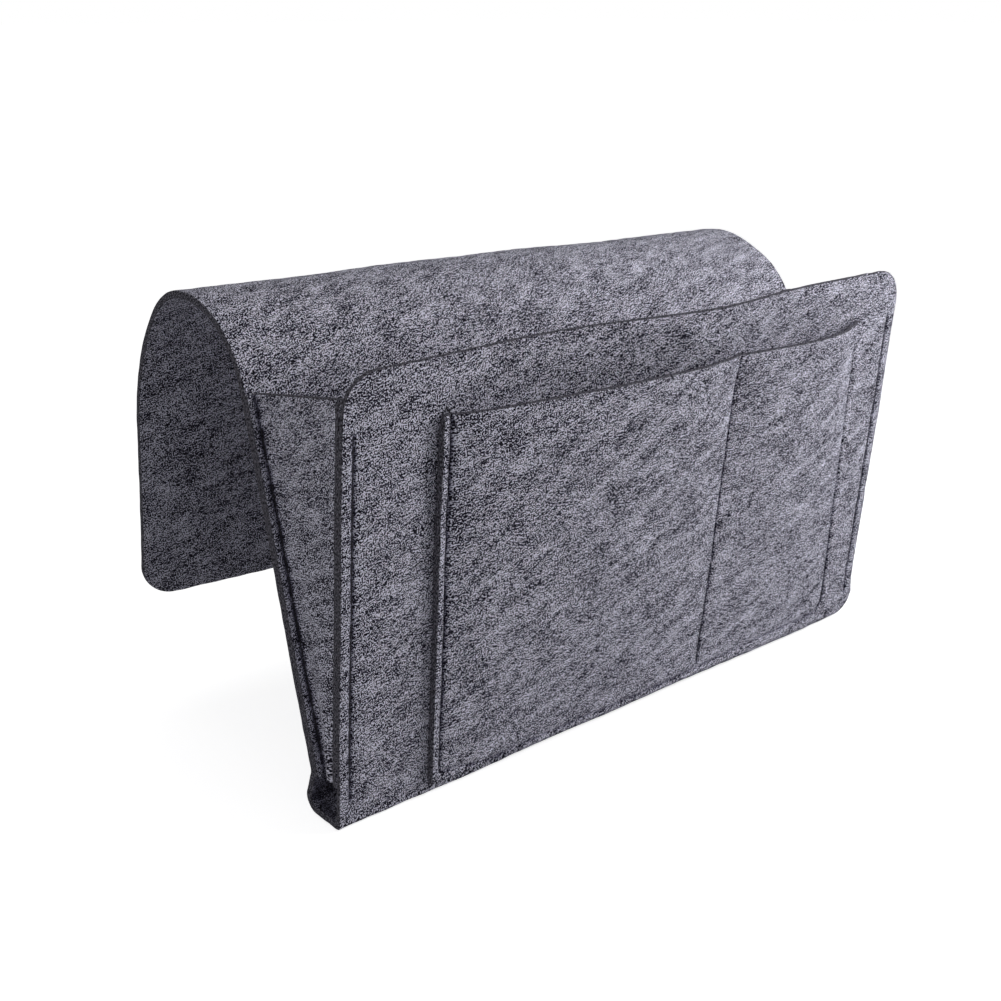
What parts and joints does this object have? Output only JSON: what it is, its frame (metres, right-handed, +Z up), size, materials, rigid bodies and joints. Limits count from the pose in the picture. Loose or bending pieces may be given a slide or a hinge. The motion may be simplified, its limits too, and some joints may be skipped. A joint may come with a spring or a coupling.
{
  "type": "armrest organizer",
  "caption": "Felt armrest organizer: a gusseted pouch with a divided patch pocket on its front, hung from a saddle that bends over a sofa arm and ends in a plain rear flap.",
  "frame": {"origin": "on the underside of the saddle's crown at mid-length, where the arm of the sofa carries it", "axes": "+X along the arm, to the right as one faces the patch pocket; +Y from the pouch over the arm to the rear flap; +Z up"},
  "size_m": [0.32, 0.1794, 0.1961],
  "materials": {
    "felt": "needle-punched heather grey felt",
    "thread": "spun polyester sewing thread"
  },
  "bodies": {
    "saddle": {"saddle": "felt"},
    "flap": {"rear_flap": "felt"},
    "pouch": {"back_panel": "felt", "left_gusset": "felt", "right_gusset": "felt", "left_back_needle_thread": "thread", "left_back_bobbin_thread": "thread", "right_back_needle_thread": "thread", "right_back_bobbin_thread": "thread"},
    "front": {"front_panel": "felt", "front_pocket": "felt", "left_front_needle_thread": "thread", "left_front_bobbin_thread": "thread", "right_front_needle_thread": "thread", "right_front_bobbin_thread": "thread", "pocket_needle_thread": "thread", "pocket_bobbin_thread": "thread", "divider_needle_thread": "thread", "divider_bobbin_thread": "thread"}
  },
  "joints": [
    {"name": "pouch_swing", "type": "hinge", "parent": "saddle", "child": "pouch", "pos_m": [0, -0.0359, -0.02301], "axis": [-1, 0, 0], "range_deg": [0, 60]},
    {"name": "flap_swing", "type": "hinge", "parent": "saddle", "child": "flap", "pos_m": [0, 0.03152, -0.01034], "axis": [1, 0, 0], "range_deg": [0, 70]},
    {"name": "pouch_fold", "type": "hinge", "parent": "pouch", "child": "front", "pos_m": [0, -0.08805, -0.18808], "axis": [-1, 0, 0], "range_deg": [0, 15], "deforming": ["left_gusset", "right_gusset"]}
  ]
}
